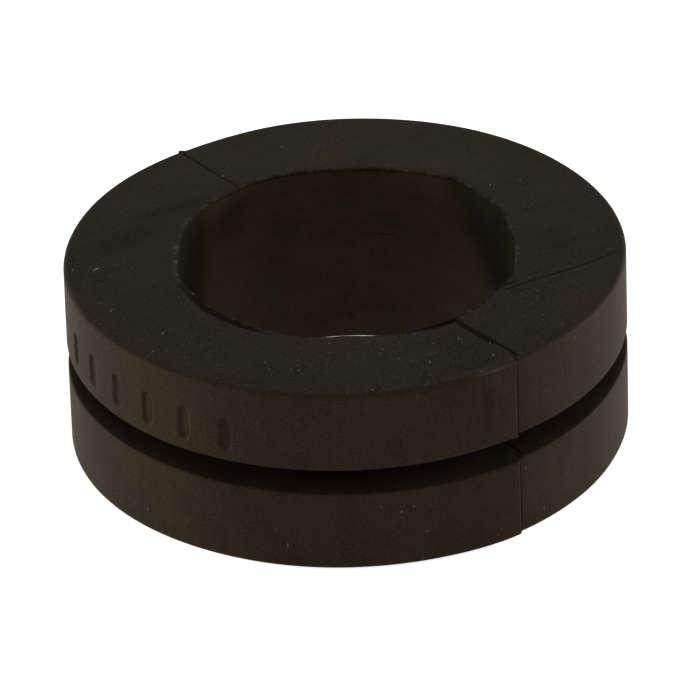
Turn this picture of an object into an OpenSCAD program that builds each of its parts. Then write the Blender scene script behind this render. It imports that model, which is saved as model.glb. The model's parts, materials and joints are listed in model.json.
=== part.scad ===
// Rubber grommet, moulded in one piece: two thick flanges, a narrow groove between them that grips
// the edge of a panel, and a bore for the pipe or cable that passes through the panel.
// Millimetres. The origin is the centre of the bottom face, and +Z runs up the bore.
// The two halves of the mould met on an upright plane through the bore. One half is a little
// larger than the other, so its flanges stand proud, and a fine crease marks where they met.

/* [Body] */
// Diameter across the flanges
outer_d = 40; // [35:0.5:60]
// Diameter of the bore
bore_d = 24.2; // [8:0.1:28]
// Height of the flange above the groove
upper_h = 6.1; // [4:0.1:12]
// Width of the groove, which is the thickness of the panel that it grips
groove_w = 1.9; // [1:0.1:4]
// Height of the flange below the groove
lower_h = 6.2; // [2:0.1:12]
// Diameter at the root of the groove, which is the diameter of the hole in the panel
root_d = 32; // [28:0.5:34]

/* [Edges] */
// Radius of the outer edge of the top and bottom faces
edge_r = 0.35; // [0.1:0.05:0.8]
// Radius of the edges beside the groove
lip_r = 0.15; // [0.05:0.05:0.5]
// Radius of the edge at the upper mouth of the bore
upper_rim_r = 0.15; // [0.05:0.05:0.8]
// Radius of the edge at the lower mouth of the bore
lower_rim_r = 0.4; // [0.05:0.05:0.8]
// Radius of the corners at the root of the groove
root_r = 0.3; // [0.1:0.05:0.45]

/* [Mould seam] */
// Direction of the near seam, anticlockwise from +X; the other one is opposite
seam_angle = -53; // [-90:1:90]
// Width of the crease along the seam
crease_w = 0.2; // [0.1:0.05:0.5]
// Depth of the crease
crease_depth = 0.15; // [0.05:0.05:0.4]
// How far the flanges of the larger half stand proud
mould_step = 0.2; // [0:0.05:0.4]

/* [Flash] */
// Thickness of the nib of flash left at the top of the far seam
flash_w = 0.3; // [0.1:0.05:0.6]
// How far the nib stands out of the larger half
flash_out = 0.25; // [0.05:0.05:0.6]
// Height of the nib
flash_h = 0.7; // [0.3:0.1:2]

/* [Marks] */
// Number of sunk marks in the wall of the upper flange
mark_count = 6; // [0:1:12]
// Direction of the first mark, anticlockwise from +X
mark_start = 197; // [140:1:220]
// Angle from one mark to the next
mark_pitch = 9.4; // [5:0.1:15]
// Height of the middle of the marks above the groove
mark_rise = 2.2; // [1.6:0.1:2.4]
// Height of a mark
mark_h = 2.6; // [1.5:0.1:3]
// Width of a mark
mark_w = 0.9; // [0.4:0.1:1.2]
// Depth of a mark
mark_depth = 0.2; // [0.05:0.05:0.4]

/* [Hidden] */
$fn = 128;

total_h = lower_h + groove_w + upper_h;
outer_r = outer_d / 2;
proud_r = outer_r + mould_step;
groove_lo = lower_h;
groove_hi = lower_h + groove_w;
mark_z = groove_hi + mark_rise;
// How far a cut runs past the surface that it opens
lap = 0.1;

// What a round of radius r leaves out of the sharp corner c; into points from c into the round
module corner(c, into, r) {
    centre = c + r * into;
    past = c - lap * into;
    difference() {
        translate([min(centre.x, past.x), min(centre.y, past.y)])
            square(r + lap);
        translate(centre)
            circle(r);
    }
}

// The groove in section, with filleted root corners; skin makes it larger all round
module groove_section(skin) {
    root = root_d / 2 - skin;
    lo = groove_lo - skin;
    hi = groove_hi + skin;
    difference() {
        translate([root, lo])
            square([proud_r + lap - root, hi - lo]);
        corner([root, lo], [1, 1], root_r);
        corner([root, hi], [1, -1], root_r);
    }
}

// The body in section from its axis out to radius r, before the bore; skin takes a layer off it
module body_section(r, skin = 0) {
    edge = r - skin;
    bottom = skin;
    top = total_h - skin;
    difference() {
        translate([0, bottom])
            square([edge, top - bottom]);
        groove_section(skin);
        corner([edge, bottom], [-1, 1], edge_r);
        corner([edge, top], [-1, -1], edge_r);
        corner([edge, groove_lo - skin], [-1, -1], lip_r);
        corner([edge, groove_hi + skin], [-1, 1], lip_r);
    }
}

// The ring as it leaves the mould, before its bore: the larger half lies over a full turn of the
// smaller one's section
module moulded_ring() {
    rotate([0, 0, seam_angle]) {
        rotate_extrude()
            body_section(outer_r);
        rotate([0, 0, 180])
            rotate_extrude(angle = 180)
                body_section(proud_r);
    }
}

// The bore with its rounded mouths, as the core that leaves it
module bore_core() {
    rotate_extrude() {
        translate([0, -lap])
            square([bore_d / 2, total_h + 2 * lap]);
        corner([bore_d / 2, 0], [1, 1], lower_rim_r);
        corner([bore_d / 2, total_h], [1, -1], upper_rim_r);
    }
}

// The crease on the parting plane, which follows the whole outline of the section
module seam_crease() {
    rotate([0, 0, seam_angle])
        difference() {
            translate([0, 0, total_h / 2])
                cube([2 * (proud_r + lap), crease_w, total_h + 2 * lap], center = true);
            rotate([90, 0, 0])
                linear_extrude(crease_w + 2 * lap, center = true) {
                    body_section(outer_r, crease_depth);
                    mirror([1, 0])
                        body_section(outer_r, crease_depth);
                }
        }
}

// The nib of flash that stands out of the far seam, at the top edge
module flash_nib() {
    root = outer_r - crease_depth - edge_r;
    top = total_h - crease_depth - lap / 2;
    rotate([0, 0, seam_angle + 180])
        translate([root, -flash_w / 2, top - flash_h])
            cube([proud_r + flash_out - root, flash_w, flash_h]);
}

// One sunk mark: an upright oblong with round ends
module mark(direction) {
    straight = mark_h - mark_w;
    rotate([0, 0, direction])
        translate([proud_r - mark_depth, 0, mark_z])
            rotate([0, 90, 0])
                linear_extrude(mark_depth + lap) {
                    square([straight, mark_w], center = true);
                    for (end = [-1, 1])
                        translate([end * straight / 2, 0])
                            circle(mark_w / 2);
                }
}

module grommet() {
    color("#27241f")
        difference() {
            union() {
                difference() {
                    moulded_ring();
                    seam_crease();
                }
                flash_nib();
            }
            bore_core();
            for (i = [0:1:mark_count - 1])
                mark(mark_start + i * mark_pitch);
        }
}

grommet();
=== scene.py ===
"""Looks of the moulded rubber grommet: its ring, the dust on it and the stage it is seen on."""

import json
import math
from types import SimpleNamespace

import bpy
import numpy as np
from bpy.props import FloatProperty, FloatVectorProperty, IntProperty, PointerProperty
from bpy.types import Operator, Panel, PropertyGroup
from mathutils import Matrix, Vector


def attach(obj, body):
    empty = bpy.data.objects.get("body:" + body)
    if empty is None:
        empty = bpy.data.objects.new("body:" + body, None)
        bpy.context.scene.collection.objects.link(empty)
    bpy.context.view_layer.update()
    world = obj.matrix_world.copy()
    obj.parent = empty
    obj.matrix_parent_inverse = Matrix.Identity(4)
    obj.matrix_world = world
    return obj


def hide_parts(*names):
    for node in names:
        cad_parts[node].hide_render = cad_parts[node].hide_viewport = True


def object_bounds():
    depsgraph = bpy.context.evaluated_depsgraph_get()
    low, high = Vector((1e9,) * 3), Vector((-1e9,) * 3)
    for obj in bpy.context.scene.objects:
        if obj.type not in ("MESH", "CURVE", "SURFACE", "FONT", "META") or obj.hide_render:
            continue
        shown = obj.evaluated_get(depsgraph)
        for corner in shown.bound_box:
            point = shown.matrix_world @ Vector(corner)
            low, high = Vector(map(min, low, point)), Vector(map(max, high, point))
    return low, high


bl_info = {
    "name": "Rubber grommet",
    "version": (1, 0, 0),
    "blender": (4, 5, 0),
    "location": "3D View > Sidebar > Grommet",
    "description": "Makes a moulded rubber grommet, the dust on it and a white stage",
    "category": "Object",
}

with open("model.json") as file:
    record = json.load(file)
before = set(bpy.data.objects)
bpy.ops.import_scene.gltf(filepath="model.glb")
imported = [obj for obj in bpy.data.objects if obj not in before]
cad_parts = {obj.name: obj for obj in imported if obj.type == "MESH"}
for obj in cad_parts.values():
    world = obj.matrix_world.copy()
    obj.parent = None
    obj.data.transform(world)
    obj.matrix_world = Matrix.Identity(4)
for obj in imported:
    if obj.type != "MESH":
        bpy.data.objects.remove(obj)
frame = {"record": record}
CAD_LOW, CAD_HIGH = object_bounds()
BORE = next(m for m in frame["record"]["mounts"] if m["name"] == "bore")
MM = 0.001
ORIGIN = (0.0, 0.0, 0.0)


# Values that a user may change


def number(name, description, value, **settings):
    """A number with its name and its description."""
    return FloatProperty(name=name, description=description, default=value, **settings)


def length(name, description, value, low=0.0):
    """A length in metres."""
    return number(name, description, value, min=low, precision=5, subtype="DISTANCE", unit="LENGTH")


def angle(name, description, degrees):
    """An angle, given in degrees and kept in radians."""
    return number(name, description, math.radians(degrees), subtype="ANGLE", unit="ROTATION")


def share(name, description, value, high=1.0):
    """A plain number from 0 to high."""
    return number(name, description, value, min=0.0, max=high, subtype="FACTOR")


def power(name, description, watts):
    """The power of a lamp."""
    return number(name, description, watts, min=0.0, subtype="POWER", unit="POWER")


def colour(name, description, value):
    """A colour in linear light."""
    return FloatVectorProperty(
        name=name, description=description, default=value, min=0.0, max=1.0, size=3, subtype="COLOR",
    )


class GrommetShape(PropertyGroup):
    """Sizes of the moulded ring."""

    height: length("Height", "From the bottom face to the top face", CAD_HIGH.z - CAD_LOW.z)
    outer_radius: length("Outer radius", "Radius of the flanges", CAD_HIGH.x)
    bore_radius: length("Bore radius", "Radius of the bore", BORE["dims"]["r_mm"] * MM)
    root_radius: length("Root radius", "Radius at the root of the groove", 16 * MM)
    groove_low: length("Groove height", "Height of the groove's lower side", 6.2 * MM)
    groove_width: length("Groove width", "Width of the groove", 1.9 * MM)
    edge_round: length("Edge round", "Radius of the outer edges", 0.35 * MM)
    lip_round: length("Lip round", "Radius of the edges beside the groove", 0.15 * MM)
    root_round: length("Root round", "Radius of the corners at the groove's root", 0.3 * MM)
    upper_rim_round: length("Upper rim round", "Radius of the edge at the bore's upper mouth", 0.15 * MM)
    lower_rim_round: length("Lower rim round", "Radius of the edge at the bore's lower mouth", 0.4 * MM)
    small_half: length("Small half", "How far the smaller half is off the outer radius", -0.07 * MM, -MM)
    large_half: length("Large half", "How far the larger half is off the outer radius", 0.09 * MM, -MM)
    small_shift: length("Small shift", "How far the smaller half is off to its own side", 0.219 * MM)
    large_shift: length("Large shift", "How far the larger half is off to its own side", 0.414 * MM)
    shift_angle: angle("Shift angle", "Direction of the smaller half's side", 48)
    seam_angle: angle("Seam angle", "Direction of the near seam, anticlockwise from +X", -52.45)
    seam_offset: length("Seam offset", "How far the seam passes to the larger half's side", 0.035 * MM)
    seam_bend: length("Seam bend", "How far the near seam bends aside beside the bore", 0.1 * MM)
    seam_jog: length("Seam jog", "How far the near seam steps aside at the top of the wall", 0.55 * MM)
    crease_width: length("Crease width", "Half width of the crease on the seam", 0.06 * MM)
    crease_depth: length("Crease depth", "Depth of the crease on the seam", 0.15 * MM)
    flash_width: length("Flash width", "Width of the nib of flash at the far seam", 0.6 * MM)
    flash_out: length("Flash out", "How far the nib stands out", 0.2 * MM)
    mark_count: IntProperty(name="Marks", description="Number of sunk marks", default=6, min=0, max=12)
    mark_start: angle("First mark", "Direction of the first mark, anticlockwise from +X", 197)
    mark_pitch: angle("Mark pitch", "Angle from one mark to the next", 9.4)
    mark_height: length("Mark height", "Height of a mark", 2.6 * MM)
    mark_width: length("Mark width", "Width of a mark", 0.9 * MM)
    mark_depth: length("Mark depth", "Depth of a mark", 0.2 * MM)
    mark_rise: length("Mark rise", "Height of the marks' middle above the groove", 2.2 * MM)
    waviness: length("Waviness", "How far the moulded faces wander", 0.03 * MM)
    rim_wear: length("Rim wear", "How ragged the bore's upper rim is", 0.09 * MM)


class GrommetFinish(PropertyGroup):
    """Colours of the rubber, of what lies on it, and of the shade and highlights painted on it."""

    rubber: colour("Rubber", "Colour of the clean rubber", (0.0185, 0.0145, 0.0082))
    # The grime colour is also the colour of the shade painted in the crease, on the bore's rim and under it
    # at the back
    grime_and_shade: colour("Grime", "Colour of the grime in the crease and in the smears", (0.0045, 0.0034, 0.002))
    # The highlight colour is painted as highlights on the top edge beside the near seam and along the
    # bore's rim
    worn: colour("Worn", "Colour of worn edges and rubbed spots", (0.06, 0.051, 0.036))
    dust: colour("Dust", "Colour of the grains of dust", (0.13, 0.122, 0.108))
    face_roughness: share("Face roughness", "Roughness of the top and bottom faces", 0.68)
    wall_roughness: share("Wall roughness", "Roughness of the walls and the bore", 0.56)
    gloss: share("Gloss", "Specular level of the rubber", 0.028)
    dust_amount: share("Dust amount", "Grains for each square millimetre of the top face", 0.95, 4.0)
    dust_size: length("Dust size", "Radius of the largest common grains", 0.042 * MM)


class GrommetStage(PropertyGroup):
    """Camera, lamps and ground."""

    elevation: angle("Elevation", "Height of the camera above the horizon", 30.249)
    roll: angle("Roll", "Turn of the camera about its own axis", -1.829)
    distance: length("Distance", "From the camera to the grommet", 0.6178)
    lens: number("Lens", "Focal length", 439.47, min=1.0, unit="CAMERA")
    left_lamp: power("Left lamp", "Power of the left lamp", 1.75)
    right_lamp: power("Right lamp", "Power of the right lamp", 1.8)
    front_lamp: power("Front lamp", "Power of the lamp over the viewer", 0.25)
    lamp_colour: colour("Lamp colour", "Colour of the lamps", (1.0, 0.95, 0.78))
    ambient: share("Ambient", "Strength of the light from all round", 0.46, 5.0)
    ground_white: share("Ground white", "White that the ground adds of itself in the camera's eye", 0.75)
    # The ground glows onto the grommet with this light of its own, which stands in for light bounced off
    # the floor
    ground_glow: share("Ground bounce", "Light that the ground gives back to the grommet", 0.47)


# Nodes: formulas are written with fields, and a web adds and wires the nodes


class Field:
    """One output of a node, which formulas such as depth * (1 - far) can be written with."""

    def __init__(self, web, socket):
        self.web = web
        self.socket = socket

    def __add__(self, other):
        return self.web.math("ADD", self, other)

    def __radd__(self, other):
        return self.web.math("ADD", other, self)

    def __sub__(self, other):
        return self.web.math("SUBTRACT", self, other)

    def __rsub__(self, other):
        return self.web.math("SUBTRACT", other, self)

    def __mul__(self, other):
        return self.web.math("MULTIPLY", self, other)

    def __rmul__(self, other):
        return self.web.math("MULTIPLY", other, self)

    def __truediv__(self, other):
        return self.web.math("DIVIDE", self, other)

    def __neg__(self):
        return self.web.math("MULTIPLY", self, -1.0)

    def __abs__(self):
        return self.web.math("ABSOLUTE", self)


class Web:
    """Adds nodes to one tree and wires them, for geometry and shaders alike."""

    def __init__(self, tree):
        self.tree = tree

    def feed(self, socket, value):
        """Wires a field to the socket, or sets the socket's own value."""
        if isinstance(value, Field):
            self.tree.links.new(value.socket, socket)
        else:
            socket.default_value = value

    def wire(self, node, inputs):
        """Feeds the inputs that are named."""
        for key, value in inputs.items():
            self.feed(node.inputs[key], value)

    def node(self, kind, inputs=None, **settings):
        """A new node with its settings and inputs."""
        made = self.tree.nodes.new(kind)
        for name, value in settings.items():
            setattr(made, name, value)
        self.wire(made, inputs or {})
        return made

    def out(self, kind, inputs=None, output=0, **settings):
        """One output of a new node."""
        return Field(self, self.node(kind, inputs, **settings).outputs[output])

    def existing(self, kind):
        """The node of a kind that the tree came with."""
        return next(n for n in self.tree.nodes if n.type == kind)

    def math(self, operation, *values):
        return self.out("ShaderNodeMath", dict(enumerate(values)), operation=operation)

    def vector_math(self, operation, *values, output="Vector"):
        return self.out("ShaderNodeVectorMath", dict(enumerate(values)), output, operation=operation)

    def scaled(self, vector, amount):
        """The vector times a plain number."""
        return self.out("ShaderNodeVectorMath", {0: vector, "Scale": amount}, operation="SCALE")

    def vector(self, x, y, z):
        return self.out("ShaderNodeCombineXYZ", {"X": x, "Y": y, "Z": z})

    def turned(self, vector, turn):
        """The vector turned round z."""
        return self.out("ShaderNodeVectorRotate", {"Vector": vector, "Angle": turn}, rotation_type="Z_AXIS")

    def parts(self, vector):
        """The x, y and z of a vector."""
        node = self.node("ShaderNodeSeparateXYZ", {0: vector})
        return [Field(self, socket) for socket in node.outputs]

    def mix_colour(self, first, second, amount):
        inputs = {"Factor": amount, 6: first, 7: (*second, 1.0)}
        return self.out("ShaderNodeMix", inputs, 2, data_type="RGBA")

    def noise(self, vector, scale, detail=2.0, roughness=0.5):
        inputs = {"Vector": vector, "Scale": scale, "Detail": detail, "Roughness": roughness}
        return self.out("ShaderNodeTexNoise", inputs)

    def ripple(self, vector, scale, detail=2.0, roughness=0.5):
        """Noise centred on 0."""
        return self.noise(vector, scale, detail, roughness) - 0.5

    def group(self, tree, inputs, output):
        """One output of a shader node group with its own values."""
        return self.out("ShaderNodeGroup", inputs, output, node_tree=tree)

    def attribute(self, name, data_type="FLOAT"):
        """A named attribute, in a geometry tree."""
        return self.out("GeometryNodeInputNamedAttribute", {"Name": name}, data_type=data_type)

    def store(self, geometry, name, value):
        """The geometry with the value kept on its points as a named attribute."""
        inputs = {"Geometry": geometry, "Name": name, "Value": value}
        return self.out("GeometryNodeStoreNamedAttribute", inputs, data_type="FLOAT", domain="POINT")

    def move(self, geometry, offset):
        return self.out("GeometryNodeSetPosition", {"Geometry": geometry, "Offset": offset})

    def geometry_of(self, other):
        """The geometry of another object."""
        return self.out("GeometryNodeObjectInfo", {"Object": other}, "Geometry")


def hypot(x, y):
    return x.web.math("SQRT", x * x + y * y)


def clamp(value, low, high):
    return value.web.math("MINIMUM", value.web.math("MAXIMUM", value, low), high)


def smooth(value, low, high):
    """0 below low and 1 above high, with a soft step between; low may be the larger."""
    inputs = {"Value": value, "From Min": low, "From Max": high}
    return value.web.out("ShaderNodeMapRange", inputs, interpolation_type="SMOOTHSTEP")


def bell(value, width):
    """1 where value is 0, falling off on both sides within about the width."""
    scaled = value / width
    return value.web.math("EXPONENT", -(scaled * scaled))


def sector(direction, middle, half):
    """A bell round the axis: its middle and half width are given in degrees."""
    apart = direction.web.math("WRAP", direction - math.radians(middle), math.pi, -math.pi)
    return bell(apart, math.radians(half))


def mix(low, high, amount):
    """From low to high as the amount goes from 0 to 1, for plain numbers."""
    return low + (high - low) * amount


def covered(*masks):
    """Where any of the masks lies."""
    free = 1 - masks[0]
    for mask in masks[1:]:
        free = free * (1 - mask)
    return 1 - free


def new_tree(name, kind, inputs, result):
    """A node group with named inputs and one output: its web, its inputs as fields, its output socket."""
    tree = bpy.data.node_groups.new(name, kind)
    for label, socket_type, default in inputs:
        socket = tree.interface.new_socket(name=label, in_out="INPUT", socket_type=socket_type)
        if default is not None:
            socket.default_value = default
    tree.interface.new_socket(name=result[0], in_out="OUTPUT", socket_type=result[1])
    web = Web(tree)
    entry = web.node("NodeGroupInput")
    given = SimpleNamespace()
    for label, _, _ in inputs:
        setattr(given, label.lower().replace(" ", "_"), Field(web, entry.outputs[label]))
    return web, given, web.node("NodeGroupOutput").inputs[0]


def geometry_tree(name, inputs):
    """A geometry tree with one geometry as its output."""
    inputs = [(label, socket_type, None) for label, socket_type in inputs]
    return new_tree(name, "GeometryNodeTree", inputs, ("Geometry", "NodeSocketGeometry"))


def shader_tree(name, inputs, result):
    """A shader group with a number as its output, from the names and default values of its inputs."""
    kinds = {float: "NodeSocketFloat", tuple: "NodeSocketVector"}
    inputs = [(label, kinds[type(value)], value) for label, value in inputs.items()]
    return new_tree(name, "ShaderNodeTree", inputs, (result, "NodeSocketFloat"))


def end_tree(web, output, geometry, material):
    """Ends a geometry tree: plain geometry with its material."""
    geometry = web.out("GeometryNodeRealizeInstances", {"Geometry": geometry})
    geometry = web.out("GeometryNodeSetMaterial", {"Geometry": geometry, "Material": material})
    web.feed(output, geometry)


def added(name, data):
    """A new object in the scene."""
    made = bpy.data.objects.new(name, data)
    bpy.context.scene.collection.objects.link(made)
    return made


def drawn(name, points, faces=()):
    """An object of loose points, or of faces between them."""
    mesh = bpy.data.meshes.new(name)
    mesh.from_pydata(points, [], faces)
    return added(name, mesh)


def grown(name, tree, values):
    """The plain mesh object that a geometry tree makes from these input values."""
    host = added(name, bpy.data.meshes.new(name))
    modifier = host.modifiers.new("grow", "NODES")
    modifier.node_group = tree
    for item in tree.interface.items_tree:
        if item.item_type == "SOCKET" and item.in_out == "INPUT" and item.name in values:
            modifier[item.identifier] = values[item.name]
    depsgraph = bpy.context.evaluated_depsgraph_get()
    mesh = bpy.data.meshes.new_from_object(host.evaluated_get(depsgraph))
    host.modifiers.remove(modifier)
    host.data = mesh
    mesh.name = name
    return host


# The ring


def section_points(shape):
    """The ring's section as (distance from the axis, 0, height), walked with the rubber on the left."""
    low = shape.groove_low
    high = low + shape.groove_width
    inner, outer, root, top = shape.bore_radius, shape.outer_radius, shape.root_radius, shape.height
    # Each corner: where it is, its round, and how far apart the points are on the run after it
    corners = (
        (inner, 0.0, shape.lower_rim_round, 0.8 * MM),
        (outer, 0.0, shape.edge_round, 0.45 * MM),
        (outer, low, shape.lip_round, 0.5 * MM),
        (root, low, shape.root_round, 0.35 * MM),
        (root, high, shape.root_round, 0.5 * MM),
        (outer, high, shape.lip_round, 0.125 * MM),
        (outer, top, shape.edge_round, 0.33 * MM),
        (inner, top, shape.upper_rim_round, 0.45 * MM),
    )
    round_spacing = 0.1 * MM
    places = [np.array(c[:2]) for c in corners]
    points = []
    for i, (_, _, round_size, spacing) in enumerate(corners):
        following = (i + 1) % len(corners)
        here = places[i]
        after = places[following]
        coming = (here - places[i - 1]) / np.linalg.norm(here - places[i - 1])
        going = (after - here) / np.linalg.norm(after - here)
        centre = here + round_size * (going - coming)
        steps = max(3, math.ceil(round_size * math.pi / 2 / round_spacing))
        for t in np.linspace(0, math.pi / 2, steps + 1):
            points.append(centre + round_size * (coming * math.sin(t) - going * math.cos(t)))
        start = here + round_size * going
        end = after - corners[following][2] * going
        count = math.ceil(np.linalg.norm(end - start) / spacing)
        points += [start + (end - start) * k / count for k in range(1, count)]
    return [(p[0], 0.0, p[1]) for p in points]


def turn_points(shape):
    """Points on a circle of radius 1, one for each turn of the section, closer at seams and marks."""
    near = math.degrees(shape.seam_angle) % 360
    far = (near + 180) % 360
    first = math.degrees(shape.mark_start)
    last = first + math.degrees(shape.mark_pitch) * (shape.mark_count - 1)
    # Each zone: where it starts and ends and its step, in degrees; the finest that applies holds
    zones = (
        (0, 360, 1.0),
        (first - 4, last + 4, 0.33),
        (near - 5, near + 3, 0.25),
        (near - 1.6, near + 0.5, 0.08),
        (far - 2, far + 2.6, 0.2),
        (far - 0.4, far + 0.5, 0.08),
    )
    directions = []
    direction = 0.0
    while direction < 359.7:
        directions.append(math.radians(direction))
        direction += min(step for low, high, step in zones if low <= direction < high)
    return [(math.cos(a), math.sin(a), 0.0) for a in directions]


def lathe(web, section, turns):
    """The section carried round all turns, as one closed skin."""
    profile = web.geometry_of(section)
    circle = web.geometry_of(turns)
    rows = web.out("GeometryNodeAttributeDomainSize", {"Geometry": profile}, "Point Count")
    columns = web.out("GeometryNodeAttributeDomainSize", {"Geometry": circle}, "Point Count")
    grid = web.out("GeometryNodeMeshGrid", {"Vertices X": columns + 1, "Vertices Y": rows + 1}, "Mesh")
    index = web.out("GeometryNodeInputIndex")
    position = web.out("GeometryNodeInputPosition")
    column = web.math("FLOOR", index / (rows + 1))
    row = index - column * (rows + 1)
    on_profile, on_circle = [
        web.out(
            "GeometryNodeSampleIndex",
            {"Geometry": points, "Value": position, "Index": web.math("MODULO", which, count)},
            data_type="FLOAT_VECTOR",
        )
        for points, which, count in ((profile, row, rows), (circle, column, columns))
    ]
    reach, _, height = web.parts(on_profile)
    across, along, _ = web.parts(on_circle)
    place = web.vector(reach * across, reach * along, height)
    skin = web.out("GeometryNodeSetPosition", {"Geometry": grid, "Position": place})
    return web.out("GeometryNodeMergeByDistance", {"Geometry": skin, "Distance": 0.002 * MM})


RING_SIZES = (
    "height", "outer_radius", "bore_radius", "groove_low", "groove_width", "small_half", "large_half",
    "small_shift", "large_shift", "shift_angle", "seam_angle", "seam_offset", "seam_bend", "seam_jog",
    "crease_width", "crease_depth", "flash_width", "flash_out", "mark_start", "mark_pitch",
    "mark_height", "mark_width", "mark_depth", "mark_rise", "waviness", "rim_wear",
)
# Where the outline of a flange swells or draws in: direction and half width in degrees, how far in mm
UPPER_SWELLS = ((121, 13, -0.2), (58, 20, 0.12), (136, 9, -0.06), (178, 14, 0.05))
LOWER_SWELLS = ((303, 13, 0.18), (235, 20, -0.07), (342, 12, -0.08))
# Where the bore's upper rim has worn outwards or still stands in, in the same way
RIM_SWELLS = (
    (52, 18, 0.9), (26, 7, 0.35), (78, 8, 0.2), (115, 20, 0.5), (150, 18, 0.5),
    (191, 9, 0.28), (342, 6, 0.3), (313, 11, 0.2), (268, 30, 0.1), (269.8, 8.8, -0.43),
)


def swell(direction, places):
    """How far a round outline stands out at each direction."""
    total = 0.0
    for middle, half, out in places:
        total = total + out * MM * sector(direction, middle, half)
    return total


def ring_places(web, size):
    """Fields that say where a point of the ring lies, and masks of its parts."""
    place = web.out("GeometryNodeInputPosition")
    x, y, z = web.parts(place)
    facing = web.out("GeometryNodeInputNormal")
    reach = hypot(x, y)
    from_bore = web.attribute("from_bore")

    # Along the seam and across it: across is negative on the larger half and positive on the smaller
    seam_x = web.math("COSINE", size.seam_angle)
    seam_y = web.math("SINE", size.seam_angle)
    along = x * seam_x + y * seam_y
    near = smooth(along, -MM, MM)
    bend = size.seam_bend * bell(along - size.bore_radius - 1.4 * MM, 1.5 * MM)
    # At the top of the wall the near seam steps aside, and the far seam less and to the other side
    jog = smooth(reach, size.outer_radius - 0.9 * MM, size.outer_radius - 0.2 * MM)
    jog = jog * size.seam_jog * mix(-0.64, 1.0, near)
    across = y * seam_x - x * seam_y + size.seam_offset + bend + jog

    return SimpleNamespace(
        place=place, x=x, y=y, z=z, reach=reach, along=along, across=across, near=near,
        facing=facing,
        level=web.parts(facing)[2],
        from_bore=from_bore,
        outside=smooth(from_bore, 0.05 * MM, 0.3 * MM),
        small=smooth(across, -0.03 * MM, 0.03 * MM),
        flange=smooth(reach, size.outer_radius - 1.2 * MM, size.outer_radius - 0.6 * MM),
        direction=web.math("MODULO", web.math("ARCTAN2", y, x) + math.tau, math.tau),
        groove_middle=size.groove_low + 0.5 * size.groove_width,
        groove_high=size.groove_low + size.groove_width,
    )


def mould_halves(web, size, at):
    """The offset that gives each mould half its own radius and side; the bore is common to both."""
    outward = (at.reach - size.bore_radius) / (size.outer_radius - size.bore_radius)
    to_small = web.math("COSINE", at.direction - size.shift_angle)
    larger = size.large_half - size.large_shift * to_small
    smaller = size.small_half + size.small_shift * to_small
    upper = smooth(at.z, at.groove_middle - 0.3 * MM, at.groove_middle + 0.3 * MM)
    lower_swell = swell(at.direction, LOWER_SWELLS)
    upper_swell = swell(at.direction, UPPER_SWELLS)
    growth = mix(larger, smaller, at.small) + mix(lower_swell, upper_swell, upper)
    # The bore leans out towards its worn upper rim
    rim = smooth(at.reach, size.bore_radius + 1.9 * MM, size.bore_radius + 0.15 * MM)
    rim = rim * smooth(at.z, size.height - 7 * MM, size.height - 0.4 * MM)
    wear = swell(at.direction, RIM_SWELLS) * rim
    spread = (growth * clamp(outward, 0.0, 1.0) + wear) / at.reach

    # The upper flange's lip hangs a little lower where the larger half ends at the near seam
    hanging = smooth(at.z, at.groove_high + 0.7 * MM, at.groove_high + 0.1 * MM)
    hanging = hanging * smooth(at.z, at.groove_high - 0.3 * MM, at.groove_high)
    tip = bell(at.across, 0.5 * MM) * (1 - at.small) * at.near * at.flange * hanging
    return web.vector(spread * at.x, spread * at.y, -0.16 * MM * tip)


def crease_mask(web, size, at):
    """The crease on the seam: broad on the near half of the top face, and left out of the bore."""
    upward = smooth(at.level, 0.3, 0.8)
    broad = at.near * upward
    width = size.crease_width * (1.6 + 0.4 * broad)
    upright = at.near * smooth(abs(at.level), 0.6, 0.3)
    line = bell(at.across + 0.1 * MM * upright, width)
    # A second line runs beside it on the near half of the top face, between the bore and the edge
    beside = bell(at.across + 0.36 * MM, 0.09 * MM)
    beside = beside + 0.45 * bell(at.across + 0.18 * MM, 0.16 * MM)
    beside = beside * broad * smooth(at.along, 12.8 * MM, 13.4 * MM)
    beside = beside * smooth(at.along, 17.6 * MM, 16.4 * MM)
    crease = web.math("MINIMUM", line + 0.8 * beside, 1.0) * at.outside
    in_groove = bell(at.z - at.groove_middle, 0.8 * size.groove_width)
    return crease * (1 - 0.6 * in_groove * upward)


def flash_nib(size, at):
    """How far the nib of flash stands out of the far seam at the top edge, and the mask of its place."""
    width = size.flash_width
    span = smooth(at.across, -0.6 * width, -0.5 * width)
    span = span * smooth(at.across, 0.4 * width, 0.25 * width)
    edge = smooth(at.z, size.height - 0.9 * MM, size.height - 0.5 * MM) * at.flange
    edge = edge * smooth(at.level, 0.97, 0.8)
    covers = span * edge * (1 - at.near)
    # It is highest on the larger half's side
    rise = 0.45 - 0.9 * at.across / width
    return covers * rise * size.flash_out, covers


def sunk_marks(web, size, at):
    """The mask of the row of sunk marks in the wall of the upper flange: oblongs with round ends."""
    step = (at.direction - size.mark_start) / size.mark_pitch
    nearest = clamp(web.math("ROUND", step), 0.0, size.mark_count - 1)
    aside = (step - nearest) * size.mark_pitch * size.outer_radius
    above = abs(at.z - at.groove_high - size.mark_rise)
    above = web.math("MAXIMUM", above - (size.mark_height - size.mark_width) / 2, 0.0)
    from_middle = hypot(aside, above) - size.mark_width / 2
    wall = smooth(at.level, 0.4, 0.2) * at.flange
    wall = wall * smooth(at.z, at.groove_high + 0.2 * MM, at.groove_high + 0.4 * MM)
    return smooth(from_middle, 0.05 * MM, -0.09 * MM) * wall


def rim_roll(size, at):
    """How far the bore's rim rolls down on the larger half, most just beside the near seam."""
    on_top = smooth(at.level, 0.2, 0.6)
    on_top = on_top * smooth(at.z, size.height - 0.6 * MM, size.height - 0.4 * MM)
    roll = bell(at.from_bore, 0.55 * MM) * on_top * (1 - at.small)
    return roll * mix(0.05, 0.3, at.near * bell(at.across, 3 * MM)) * MM


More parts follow.
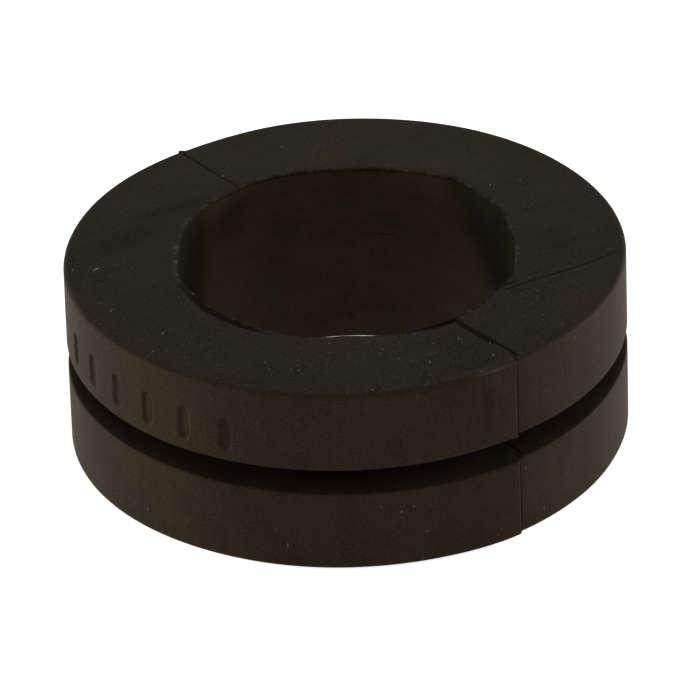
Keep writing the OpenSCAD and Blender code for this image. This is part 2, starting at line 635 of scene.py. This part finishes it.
def unevenness(web, size, at):
    """How far the moulded faces wander, apart from the bottom, and how ragged the bore's rim is."""
    wave = web.ripple(at.place, 120.0, 1.0) * 2 * size.waviness * at.outside
    wave = wave * smooth(at.z, 0.0, 0.5 * MM)
    at_rim = bell(at.from_bore, 0.25 * MM) * bell(at.z - size.height, 0.25 * MM)
    ragged = web.ripple(at.place, 1400.0, 2.0, 0.6) * 2 * size.rim_wear * at_rim
    # The near side of the rim is less ragged
    return wave + ragged * mix(0.25, 1.0, smooth(at.y, -9 * MM, -6 * MM))


def ring_tree():
    """The geometry tree of the ring: lathe, two mould halves, crease, flash, sunk marks and waviness."""
    inputs = [(label, "NodeSocketFloat") for label in RING_SIZES]
    inputs += [("Section", "NodeSocketObject"), ("Turns", "NodeSocketObject")]
    inputs += [("Mark Count", "NodeSocketInt"), ("Rubber", "NodeSocketMaterial")]
    web, size, output = geometry_tree("moulded_ring", inputs)
    at = ring_places(web, size)
    skin = lathe(web, size.section, size.turns)
    skin = web.store(skin, "from_bore", at.reach - size.bore_radius)
    skin = web.move(skin, mould_halves(web, size, at))

    crease = crease_mask(web, size, at)
    nib, under_nib = flash_nib(size, at)
    # The far seam's crease is shallower, and the nib fills most of it
    sunk = crease * size.crease_depth * mix(0.45, 1.0, at.near) * (1 - 0.7 * under_nib)
    sunk = sunk + sunk_marks(web, size, at) * size.mark_depth
    outward = web.scaled(at.facing, nib - sunk + unevenness(web, size, at))
    roll = web.vector(0.0, 0.0, rim_roll(size, at))
    skin = web.store(skin, "crease", crease)
    skin = web.move(skin, web.vector_math("SUBTRACT", outward, roll))
    end_tree(web, output, skin, size.rubber)
    return web.tree


# Finishes


def dust_group():
    """Fine specks of dust, as a mask over the surface."""
    inputs = {"Vector": ORIGIN, "Scale": 3000.0, "Amount": 0.2, "Size": 0.2}
    web, given, mask = shader_tree("fine_dust", inputs, "Mask")
    cells = web.node("ShaderNodeTexVoronoi", {"Vector": given.vector, "Scale": given.scale})
    chance = web.parts(Field(web, cells.outputs["Color"]))[0]
    chosen = web.math("LESS_THAN", chance, given.amount)
    speck = smooth(Field(web, cells.outputs["Distance"]), given.size, given.size * 0.4)
    web.feed(mask, speck * chosen)
    return web.tree


def streak_group():
    """Noise drawn out along the axes by the Stretch, centred on 0."""
    inputs = {"Vector": ORIGIN, "Stretch": (1.0, 1.0, 1.0), "Turn": 0.0, "Scale": 500.0}
    web, given, value = shader_tree("streaks", inputs, "Value")
    stretched = web.vector_math("DIVIDE", web.turned(given.vector, given.turn), given.stretch)
    web.feed(value, web.ripple(stretched, given.scale, 3.0, 0.6))
    return web.tree


def smear_group():
    """A soft oblong patch at a place, as a mask: for scuffs, smudges and scratches."""
    inputs = {"Vector": ORIGIN, "Centre": ORIGIN, "Turn": 0.0, "Half Size": (MM, MM, MM), "Soft": 0.5}
    web, given, mask = shader_tree("smear", inputs, "Mask")
    local = web.turned(web.vector_math("SUBTRACT", given.vector, given.centre), -given.turn)
    scaled = web.vector_math("DIVIDE", local, given.half_size)
    distance = web.vector_math("LENGTH", scaled, output="Value")
    web.feed(mask, smooth(distance, 1.0, 1.0 - given.soft))
    return web.tree


def new_material(name):
    """A material with its web and its Principled shader."""
    material = bpy.data.materials.new(name)
    material.use_nodes = True
    web = Web(material.node_tree)
    return material, web, web.existing("BSDF_PRINCIPLED")


# Smears on the top face: middle in mm, direction in degrees, half length and half width in mm,
# softness, how much of it is grime
TOP_SMEARS = (
    ((-15.8, 2.9), 37, (4.6, 1.7), 0.95, 0.6),
    ((-12.2, 7.4), 33, (4.2, 1.0), 0.9, 0.55),
    ((-14.6, 6.2), 34, (2.6, 0.6), 0.9, 0.35),
    ((11.6, -5.2), 24, (1.4, 0.35), 0.9, 0.5),
    ((15.0, 2.2), 30, (2.6, 0.6), 1.0, 0.25),
)
# Scratches on the top face, given in the same way
TOP_SCRATCHES = (
    ((12.3, -5.5), 31.5, (2.6, 0.2), 0.8, 0.85),
    ((15.0, -4.05), 28.0, (3.4, 0.2), 0.7, 0.9),
    ((17.8, -2.35), 34.5, (3.0, 0.19), 0.8, 0.85),
    ((13.6, -3.9), 30.0, (2.9, 0.1), 0.8, 0.6),
    ((11.4, -5.4), 30.0, (1.2, 0.3), 0.9, 0.7),
)
# Smears on a wall: direction from the axis in degrees, height in mm, half width and half height in mm,
# softness, how much of it is grime
WALL_SMEARS = (
    (298.5, 11.3, (0.6, 2.8), 0.9, 0.6),
    (297.2, 12.6, (0.25, 1.7), 0.9, 0.4),
    (317.8, 3.2, (0.17, 0.6), 0.8, 0.45),
    (295.4, 5.3, (0.4, 0.14), 0.8, 0.5),
    (253.0, 2.6, (1.1, 0.7), 1.0, 0.15),
)
# The scuff on the far wall of the bore, given in the same way
BORE_SMEARS = (
    (76.5, 8.85, (1.15, 0.1), 0.7, 0.6),
    (71.5, 8.65, (0.35, 0.09), 0.8, 0.5),
    (84.0, 8.7, (0.9, 0.3), 1.0, 0.3),
)
# Shade painted on the roll of the bore's upper rim: direction and half width in degrees, how far it reaches
# out from the bore in mm, how much of it is shade
RIM_SHADE_PLACES = (
    (224, 19, 0.95, 0.95),
    (205, 9, 0.7, 0.6),
    (301, 7, 0.95, 0.9),
    (292, 6, 0.5, 0.7),
    (320, 12, 0.3, 0.8),
)


def smears(web, groups, vector, places):
    """Soft patches in one mask: each has its centre and direction, its half sizes, softness and amount."""
    masks = []
    for centre, direction, half, soft, amount in places:
        inputs = {
            "Vector": vector,
            "Centre": centre,
            "Turn": direction,
            "Half Size": (half[0] * MM, half[1] * MM, MM),
            "Soft": soft,
        }
        masks.append(amount * web.group(groups["smear"], inputs, "Mask"))
    return covered(*masks)


def flat_smears(web, groups, at, table):
    """Smears or scratches of the top face in one mask."""
    places = [
        ((centre[0] * MM, centre[1] * MM, 0.0), math.radians(direction), *rest)
        for centre, direction, *rest in table
    ]
    return smears(web, groups, web.vector_math("MULTIPLY", at.place, (1.0, 1.0, 0.0)), places)


def wall_smears(web, groups, at, table, radius):
    """Smears on an upright wall, which is unrolled to x round the axis and y up."""
    places = [
        ((math.radians((direction + 180) % 360 - 180) * radius, height * MM, 0.0), 0.0, *rest)
        for direction, height, *rest in table
    ]
    return smears(web, groups, web.vector(at.turn * radius, at.z, 0.0), places)


def rubber_places(web, shape):
    """Fields that say where a point of the rubber lies, and masks of its parts."""
    place = web.out("ShaderNodeTexCoord", output="Object")
    x, y, z = web.parts(place)
    level = web.parts(web.out("ShaderNodeNewGeometry", output="Normal"))[2]
    flat = smooth(abs(level), 0.75, 0.98)
    from_bore = web.out("ShaderNodeAttribute", output="Fac", attribute_name="from_bore")
    inside = smooth(from_bore, 1.1 * MM, 0.9 * MM) * (1 - flat)
    below_top = shape.height - z
    return SimpleNamespace(
        place=place, x=x, y=y, z=z, from_bore=from_bore, flat=flat, inside=inside,
        below_top=below_top,
        reach=hypot(x, y),
        turn=web.math("ARCTAN2", y, x),
        top=smooth(level, 0.75, 0.98) * smooth(below_top, 0.6 * MM, 0.4 * MM),
        wall=(1 - smooth(abs(level), 0.2, 0.6)) * (1 - inside),
        crease=web.out("ShaderNodeAttribute", output="Fac", attribute_name="crease"),
    )


def rubber_patterns(web, at, groups):
    """The fine patterns of the rubber, each centred on 0."""

    def streaks(stretch, scale, degrees=0):
        inputs = {"Vector": at.place, "Stretch": stretch, "Scale": scale, "Turn": math.radians(degrees)}
        return web.group(groups["streaks"], inputs, "Value")

    return SimpleNamespace(
        grain=web.ripple(at.place, 7000.0, 3.0, 0.65),
        mottle=web.ripple(at.place, 420.0, 4.0, 0.6),
        broad=web.ripple(at.place, 110.0, 2.0, 0.5),
        draw=streaks((1.0, 1.0, 14.0), 1600.0),
        rings=streaks((9.0, 9.0, 1.0), 1700.0),
        brushed=streaks((12.0, 1.0, 1.0), 2200.0, -32),
    )


def bore_shade(web, at):
    """Where shade is painted in the bore: at both sides, above a slanting soft edge."""
    right_turn = web.math("DEGREES", at.turn)
    right_edge = at.z - right_turn * 0.237 * MM - 0.5 * MM
    left_turn = web.math("DEGREES", web.math("WRAP", at.turn, math.tau, 0.0))
    left_edge = at.z - (150 - left_turn) * 0.9 * MM - 8 * MM
    shade = covered(
        smooth(right_edge, -2 * MM, 2 * MM) * smooth(at.x, 0.0, 4 * MM),
        smooth(left_edge, -4 * MM, 4 * MM) * smooth(at.x, 0.0, -4 * MM),
    )
    return shade * at.inside * smooth(at.y, -3 * MM, 0.0)


def rubber_tone(web, shape, at, look):
    """How light the rubber is, about 1: by its patterns, and by the light and shade painted on its parts.
    """
    shade = bore_shade(web, at)
    # Light is painted low on both sides of the bore, below its painted shade
    painted_bore_light = smooth(abs(at.x), 4 * MM, 9.5 * MM) * (1 - shade) * at.inside
    painted_bore_light = painted_bore_light * smooth(at.y, -2 * MM, 2 * MM)
    # The bore is painted lighter all over
    tone = 1 + 0.32 * at.inside + 0.6 * look.mottle + 1.9 * look.grain + 0.5 * look.broad
    tone = tone + 0.3 * look.draw * at.wall + 0.6 * look.rings * at.inside
    # A painted sheen: the top face is lighter towards the back here, and lighter as a whole below
    tone = tone + 0.55 * look.brushed * at.top + 0.13 * at.top * at.y / (15 * MM)
    tone = (tone + 0.14 * at.top + 0.5 * painted_bore_light) * (1 - 0.47 * shade)
    # Shade is painted in the bore under its rim at both sides, and at the back of the groove
    painted_shade_under_rim = smooth(at.below_top, 5 * MM, 1.5 * MM) * at.inside
    tone = tone * (1 - 0.4 * painted_shade_under_rim * smooth(abs(at.x), 5 * MM, 9 * MM))
    from_groove = abs(at.z - (shape.groove_low + 0.5 * shape.groove_width))
    painted_groove_shade = smooth(from_groove, 0.6 * shape.groove_width, 0.5 * shape.groove_width)
    return tone * (1 - 0.3 * painted_groove_shade * (1 - at.inside))


def rubber_tint(web, at):
    """A slight shift of hue: greyer on the top face and browner in the bore."""
    hue = web.ripple(at.place, 300.0, 1.0)
    red = 1 + 0.11 * hue - 0.06 * at.top
    green = 1 + 0.02 * at.top
    blue = 1 - 0.22 * hue + 0.22 * at.top - 0.15 * at.inside
    return web.vector(red, green, blue)


def shaded_rim(at, look):
    """Shade painted on the roll of the bore's upper rim, on the side towards the viewer."""
    masks = [0.7 * bell(at.from_bore - 0.1 * MM, 0.2 * MM) * smooth(at.y, -2 * MM, -7 * MM)]
    for middle, half, reach_out, amount in RIM_SHADE_PLACES:
        band = smooth(at.from_bore, reach_out * MM, 0.6 * reach_out * MM)
        band = band * sector(at.turn, middle, half)
        masks.append(amount * smooth(band + 0.3 * look.grain, 0.2, 0.7))
    return covered(*masks) * smooth(at.below_top, 0.5 * MM, 0.2 * MM)


def wall_grime_and_shadow(web, shape, groups, at, look):
    """Smudges on the outer walls, the scuff in the bore, and a painted shadow as a dark line under its rim
    at the back.
    """
    smudged = wall_smears(web, groups, at, WALL_SMEARS, shape.outer_radius) * at.wall
    smudged = smudged * smooth(look.draw + 0.5 * look.grain, -0.35, 0.15)
    scuffed = wall_smears(web, groups, at, BORE_SMEARS, shape.bore_radius) * at.inside
    # A painted shadow under the bore's rim at the back
    line = bell(at.below_top - 0.17 * MM, 0.14 * MM) * at.inside * smooth(at.y, MM, 5 * MM)
    line = 0.9 * line * smooth(look.mottle + 0.6 * look.grain, -0.3, 0.05)
    return covered(smudged, scuffed, line)


def crease_shade(at, look):
    """Painted shade in the crease, and along a fine ledge beside the bore at the back."""
    patchy = smooth(look.grain, -0.6, 0.0) * mix(0.4, 0.75, smooth(at.x, -9 * MM, 0.0))
    ledge = 0.6 * bell(at.from_bore - 0.3 * MM, 0.07 * MM) * at.top * sector(at.turn, 46, 26)
    return covered(ledge, smooth(at.crease, 0.1, 0.9) * patchy)


def painted_highlights(web, at):
    """Painted highlights on the top edge of the larger half beside the near seam, and in patches along the
    bore's rim.
    """
    edge = bell(at.below_top - 0.07 * MM, 0.06 * MM) * smooth(at.reach, 19.2 * MM, 19.5 * MM)
    edge = 0.8 * edge * sector(at.turn, -60.2, 4.2)
    rim = bell(at.from_bore - 0.1 * MM, 0.2 * MM) * smooth(at.below_top, 0.3 * MM, 0.1 * MM)
    # Most of the rim's highlights are at the left
    leftward = bell(abs(at.turn) - math.radians(165), math.radians(30))
    patches = smooth(web.noise(at.place, 1500.0, 2.0, 0.7), 0.5, 0.66)
    rim_glints = 0.8 * rim * mix(0.5, 1.0, leftward) * patches
    return covered(edge, rim_glints)


def rubber_material(finish, shape, groups):
    """Matt black moulded rubber with its grain, draw marks and smears, shade painted in the crease, in the
    bore and in the groove, and highlights painted on its edges.
    """
    material, web, shader = new_material("moulded_rubber")
    at = rubber_places(web, shape)
    look = rubber_patterns(web, at, groups)
    base = web.scaled(tuple(finish.rubber), rubber_tone(web, shape, at, look))
    base = web.vector_math("MULTIPLY", base, rubber_tint(web, at))

    smeared = flat_smears(web, groups, at, TOP_SMEARS)
    smeared = smeared * smooth(look.brushed + 0.4 * look.grain, -0.3, 0.12)
    scratched = flat_smears(web, groups, at, TOP_SCRATCHES) * smooth(look.grain, -0.45, -0.05)
    marked = covered(smeared, scratched) * at.top
    painted_on_rim = shaded_rim(at, look)
    grime_and_shadow_on_walls = wall_grime_and_shadow(web, shape, groups, at, look)
    # Smears and scratches are grime; the crease, the bore's rim and the line under it get painted shade in
    # the same colour
    grime_and_shade = covered(marked, grime_and_shadow_on_walls, painted_on_rim, crease_shade(at, look))
    base = web.mix_colour(base, finish.grime_and_shade, grime_and_shade)
    # Highlights painted on the top edge and along the bore's rim
    base = web.mix_colour(base, finish.worn, painted_highlights(web, at))
    specks = {"Vector": at.place, "Scale": 4600.0, "Amount": 0.3, "Size": 0.24}
    dust = web.group(groups["dust"], specks, "Mask")
    dusty = dust * (0.2 * at.top + 0.08 * at.wall + 0.04 * at.inside)
    web.feed(shader.inputs["Base Color"], web.mix_colour(base, finish.dust, dusty))

    roughness = mix(finish.wall_roughness, finish.face_roughness, at.flat) + 0.15 * look.mottle
    web.feed(shader.inputs["Roughness"], roughness + 0.35 * covered(painted_on_rim, at.crease))
    shader.inputs["Specular IOR Level"].default_value = finish.gloss

    height = 0.9 * look.grain + 0.7 * look.mottle + 0.8 * look.draw * at.wall
    height = height + 0.7 * look.rings * at.inside + 0.6 * look.brushed * at.top
    relief = {"Height": height - 1.2 * scratched * at.top, "Strength": 1.0, "Distance": 0.03 * MM}
    web.feed(shader.inputs["Normal"], web.out("ShaderNodeBump", relief, "Normal"))
    return material


def dust_material(finish):
    """Pale grains and fibres, no two quite the same colour."""
    material, web, shader = new_material("dust")
    place = web.out("ShaderNodeTexCoord", output="Object")
    shade = 0.3 + 1.4 * web.noise(place, 2500.0, 1.0)
    tint = web.scaled(tuple(finish.dust), shade)
    web.wire(shader, {"Base Color": tint, "Roughness": 0.9, "Specular IOR Level": 0.2})
    return material


# Dust


# Flecks and fibres that lie singly: place in mm, direction in degrees, half length and half width in mm
FLECKS = (
    ((-18.05, -1.4, 14.2), 45, 0.36, 0.07),
    ((-8.88, 11.75, 14.2), 0, 0.09, 0.08),
    ((-4.53, 15.84, 14.2), 20, 0.1, 0.05),
    ((12.76, 9.74, 14.2), 10, 0.12, 0.06),
    ((10.56, 9.14, 14.2), 60, 0.09, 0.05),
    ((7.68, -12.87, 14.2), 0, 0.1, 0.07),
    ((10.03, -15.31, 14.2), 0, 0.09, 0.07),
    ((13.02, -8.19, 14.2), 70, 0.1, 0.05),
    ((5.58, -16.0, 14.2), 90, 0.13, 0.05),
    ((1.47, -19.71, 13.85), 0, 0.04, 0.15),
    ((1.76, -19.68, 5.03), 0, 0.035, 0.14),
    ((3.16, -19.52, 4.46), 0, 0.035, 0.12),
    ((4.02, -19.37, 4.79), 0, 0.09, 0.04),
    ((13.32, -14.75, 1.17), 0, 0.05, 0.15),
    ((4.89, -19.17, 2.57), 0, 0.04, 0.07),
    ((-14.24, -13.65, 1.74), 0, 0.04, 0.1),
    ((-4.67, -19.17, 1.85), 0, 0.03, 0.18),
    ((-13.2, -10.8, 14.2), 45, 0.11, 0.06),
    ((-16.9, -7.4, 14.2), 120, 0.12, 0.05),
)
# Half thickness of a fleck in mm
FLECK_THICKNESS = 0.05


def fleck_guide(height):
    """The flecks' places as loose points, each with its turn and its half sizes."""
    made = drawn("fleck_guide", [[c * MM for c in place] for place, _, _, _ in FLECKS])
    turns = made.data.attributes.new("turn", "FLOAT_VECTOR", "POINT")
    sizes = made.data.attributes.new("half_size", "FLOAT_VECTOR", "POINT")
    for i, (place, direction, length_half, width_half) in enumerate(FLECKS):
        # A fleck on a wall lies along it, and its width runs up the wall
        around = math.atan2(place[1], place[0]) + math.pi / 2
        half = (length_half, FLECK_THICKNESS, width_half)
        if place[2] * MM > height - 0.2 * MM:
            around = math.radians(direction)
            half = (length_half, width_half, FLECK_THICKNESS)
        turns.data[i].vector = (0.0, 0.0, around)
        sizes.data[i].vector = [h * MM for h in half]
    return made


def random_value(web, low, high, seed):
    """A number or a vector drawn for each grain."""
    inputs = {"Min": low, "Max": high, "Seed": seed}
    if isinstance(low, tuple):
        return web.out("FunctionNodeRandomValue", inputs, 0, data_type="FLOAT_VECTOR")
    return web.out("FunctionNodeRandomValue", inputs, 1, data_type="FLOAT")


def dust_density(web, size):
    """Grains for each unit of area: clumped, thickest on the near side of the top face."""
    place = web.out("GeometryNodeInputPosition")
    x, y, z = web.parts(place)
    level = web.parts(web.out("GeometryNodeInputNormal"))[2]
    reach = hypot(x, y)
    clumps = smooth(web.noise(place, 260.0, 3.0, 0.6), 0.4, 0.68)
    on_top = smooth(level, 0.5, 0.9) * (0.3 + 1.6 * clumps)
    on_top = on_top * smooth(z, size.bottom, size.bottom + MM)
    front = smooth(y, 4 * MM, -14 * MM)
    on_wall = smooth(abs(level), 0.5, 0.2) * smooth(reach, 18 * MM, 19 * MM) * 0.16
    return (on_top * (0.45 + 1.3 * front) + on_wall) * size.amount / (MM * MM)


def dust_tree():
    """Grains of dust over the surface of a piece, and flecks at their own places."""
    inputs = [("Surface", "NodeSocketObject"), ("Flecks", "NodeSocketObject")]
    inputs += [("Dust", "NodeSocketMaterial")]
    inputs += [(label, "NodeSocketFloat") for label in ("Amount", "Size", "Bottom")]
    web, size, output = geometry_tree("dust_grains", inputs)
    surface = web.geometry_of(size.surface)
    grain = web.out("GeometryNodeMeshIcoSphere", {"Radius": 1.0, "Subdivisions": 1}, "Mesh")

    spread = {"Mesh": surface, "Density": dust_density(web, size), "Seed": 7}
    points = web.out("GeometryNodeDistributePointsOnFaces", spread, "Points")
    large = web.math("GREATER_THAN", random_value(web, 0.0, 1.0, 11), 0.965)
    radius = size.size * random_value(web, 0.35, 1.0, 3) * (1 + 0.9 * large)
    spin = random_value(web, ORIGIN, (6.3, 6.3, 6.3), 5)
    uneven = random_value(web, (0.6, 0.6, 0.5), (1.4, 1.0, 0.9), 9)
    grains = web.out(
        "GeometryNodeInstanceOnPoints",
        {"Points": points, "Instance": grain, "Rotation": spin, "Scale": web.scaled(uneven, radius)},
    )

    nearest = web.out("GeometryNodeProximity", {0: surface}, "Position", target_element="FACES")
    places = {"Geometry": web.geometry_of(size.flecks), "Position": nearest}
    flecks = web.out(
        "GeometryNodeInstanceOnPoints",
        {
            "Points": web.out("GeometryNodeSetPosition", places),
            "Instance": grain,
            "Rotation": web.attribute("turn", "FLOAT_VECTOR"),
            "Scale": web.attribute("half_size", "FLOAT_VECTOR"),
        },
    )
    both = web.node("GeometryNodeJoinGeometry")
    for part in (grains, flecks):
        web.feed(both.inputs["Geometry"], part)
    end_tree(web, output, Field(web, both.outputs["Geometry"]), size.dust)
    return web.tree


# Stage


# Each lamp: its name, its place and its size in metres
LAMPS = (
    ("left_lamp", (-0.42, 0.06, 0.055), 0.1),
    ("right_lamp", (0.38, 0.16, 0.055), 0.1),
    ("front_lamp", (0.0, -0.35, 0.26), 0.25),
)
# Where the camera aims beside the ring's axis, and its small turns to the right and up in degrees
CAMERA_AIM = (0.117 * MM, 0.178 * MM)
CAMERA_PAN = -0.0116
CAMERA_TILT = -0.0949


def seen(web):
    """1 for rays from the camera or from gloss and glass, and 0 for the light that falls on things."""
    path = web.node("ShaderNodeLightPath")
    names = ("Is Camera Ray", "Is Glossy Ray", "Is Transmission Ray")
    rays = [Field(web, path.outputs[name]) for name in names]
    return web.math("MINIMUM", rays[0] + rays[1] + rays[2], 1.0)


def ground_material(white, glow):
    """White ground that shows its shadows and is white in the camera's eye; beside the light it reflects,
    it glows onto the grommet with a light of its own that stands in for bounced light.

    It is clear from below, so that the bottom face can be seen too.
    """
    material, web, shader = new_material("ground")
    web.wire(shader, {
        "Base Color": (0.8, 0.8, 0.8, 1.0),
        "Roughness": 0.9,
        "Specular IOR Level": 0.0,
        "Emission Color": (1.0, 1.0, 1.0, 1.0),
        # The glow onto the grommet stands in for light bounced off the floor
        "Emission Strength": mix(glow, white, seen(web)),
    })
    below = web.out("ShaderNodeNewGeometry", output="Backfacing")
    solid = Field(web, shader.outputs["BSDF"])
    clear = web.out("ShaderNodeBsdfTransparent")
    mixed = web.out("ShaderNodeMixShader", {0: below, 1: solid, 2: clear})
    web.feed(web.existing("OUTPUT_MATERIAL").inputs["Surface"], mixed)
    return material


def ground_plane(material):
    """A wide ground, a hair under the bottom face so that the two never share a plane."""
    half = 3.0
    under = -0.02 * MM
    corners = [(-half, -half, under), (half, -half, under), (half, half, under), (-half, half, under)]
    ground = drawn("ground", corners, [(0, 1, 2, 3)])
    ground.data.materials.append(material)
    return ground


def surround(ambient):
    """A world that is white in the camera's eye and lights things with the ambient strength."""
    world = bpy.data.worlds.new("surround")
    world.use_nodes = True
    web = Web(world.node_tree)
    strength = mix(ambient, 1.0, seen(web))
    web.wire(web.existing("BACKGROUND"), {"Color": (1.0, 1.0, 1.0, 1.0), "Strength": strength})
    return world


def area_lamp(name, place, target, size, watts, tint):
    """A square soft lamp that points at its target."""
    data = bpy.data.lights.new(name, "AREA")
    data.shape = "SQUARE"
    data.size = size
    data.energy = watts
    data.color = tint
    lamp = added(name, data)
    lamp.location = place
    lamp.rotation_euler = (Vector(target) - Vector(place)).to_track_quat("-Z", "Y").to_euler()


def aim_camera(stage, middle):
    """The camera at the photograph's angle, with the fitted turns about its own axes."""
    aim = Vector((*CAMERA_AIM, middle))
    elevation = stage.elevation
    place = aim + stage.distance * Vector((0.0, -math.cos(elevation), math.sin(elevation)))
    ahead = (aim - place).normalized()
    right = Vector((1.0, 0.0, 0.0))
    up = right.cross(ahead)
    ahead = ahead + math.radians(CAMERA_PAN) * right + math.radians(CAMERA_TILT) * up
    ahead.normalize()
    right = ahead.cross(up).normalized()
    up = right.cross(ahead)
    image_right = math.cos(stage.roll) * right + math.sin(stage.roll) * up
    image_up = math.cos(stage.roll) * up - math.sin(stage.roll) * right
    turned = Matrix((image_right, image_up, -ahead)).transposed().to_4x4()
    data = bpy.data.cameras.new("camera")
    data.lens = stage.lens
    data.sensor_width = 36.0
    data.clip_start = 0.01
    data.clip_end = 50.0
    camera = added("camera", data)
    camera.matrix_world = Matrix.Translation(place) @ turned
    bpy.context.scene.camera = camera


# Operators


class GROMMET_OT_ring(Operator):
    """Makes the moulded ring with its seam, its flash and its sunk marks"""

    bl_idname = "grommet.ring"
    bl_label = "Moulded ring"

    def execute(self, context):
        shape = context.scene.grommet_shape
        groups = {"dust": dust_group(), "streaks": streak_group(), "smear": smear_group()}
        section = drawn("section_guide", section_points(shape))
        turns = drawn("turn_guide", turn_points(shape))
        values = {name: getattr(shape, name) for name in RING_SIZES}
        values["Section"] = section
        values["Turns"] = turns
        values["Mark Count"] = shape.mark_count
        values["Rubber"] = rubber_material(context.scene.grommet_finish, shape, groups)
        ring = grown("grommet_ring", ring_tree(), values)
        ring.data.shade_smooth()
        for spent in (section, turns):
            bpy.data.objects.remove(spent)
        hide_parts("grommet")
        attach(ring, "root")
        return {"FINISHED"}


class GROMMET_OT_dust(Operator):
    """Strews the grains of dust over the ring"""

    bl_idname = "grommet.dust"
    bl_label = "Dust"

    def execute(self, context):
        finish = context.scene.grommet_finish
        shape = context.scene.grommet_shape
        flecks = fleck_guide(shape.height)
        values = {
            "Surface": bpy.data.objects["grommet_ring"],
            "Flecks": flecks,
            "Dust": dust_material(finish),
            "Amount": finish.dust_amount,
            "Size": finish.dust_size,
            "Bottom": shape.groove_low + 2 * MM,
        }
        grains = grown("dust_grains", dust_tree(), values)
        bpy.data.objects.remove(flecks)
        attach(grains, "root")
        return {"FINISHED"}


class GROMMET_OT_stage(Operator):
    """Makes the white ground, the lamps and the camera"""

    bl_idname = "grommet.stage"
    bl_label = "Stage"

    def execute(self, context):
        stage = context.scene.grommet_stage
        ground = ground_plane(ground_material(stage.ground_white, stage.ground_glow))
        context.scene.world = surround(stage.ambient)
        middle = context.scene.grommet_shape.height / 2
        for name, place, size in LAMPS:
            area_lamp(name, place, (0.0, 0.0, middle), size, getattr(stage, name), stage.lamp_colour)
        aim_camera(stage, middle)
        context.scene.view_settings.view_transform = "Standard"
        return {"FINISHED"}


class GROMMET_PT_panel(Panel):
    """Lists the steps and the values of the grommet"""

    bl_label = "Grommet"
    bl_idname = "GROMMET_PT_panel"
    bl_space_type = "VIEW_3D"
    bl_region_type = "UI"
    bl_category = "Grommet"

    def draw(self, context):
        for step in STEPS:
            self.layout.operator(step.bl_idname)
        for group in GROUPS:
            values = getattr(context.scene, group)
            box = self.layout.box()
            box.label(text=group.replace("_", " ").capitalize())
            for name in values.__annotations__:
                box.prop(values, name)


STEPS = (GROMMET_OT_ring, GROMMET_OT_dust, GROMMET_OT_stage)
GROUPS = {"grommet_shape": GrommetShape, "grommet_finish": GrommetFinish, "grommet_stage": GrommetStage}
CLASSES = (*GROUPS.values(), *STEPS, GROMMET_PT_panel)


def register():
    for made in CLASSES:
        bpy.utils.register_class(made)
    for name, group in GROUPS.items():
        setattr(bpy.types.Scene, name, PointerProperty(type=group))


def unregister():
    for name in GROUPS:
        delattr(bpy.types.Scene, name)
    for made in reversed(CLASSES):
        bpy.utils.unregister_class(made)


def main():
    """Makes every piece in order."""
    register()
    bpy.ops.grommet.ring()
    bpy.ops.grommet.dust()
    bpy.ops.grommet.stage()


if __name__ == "__main__":
    main()
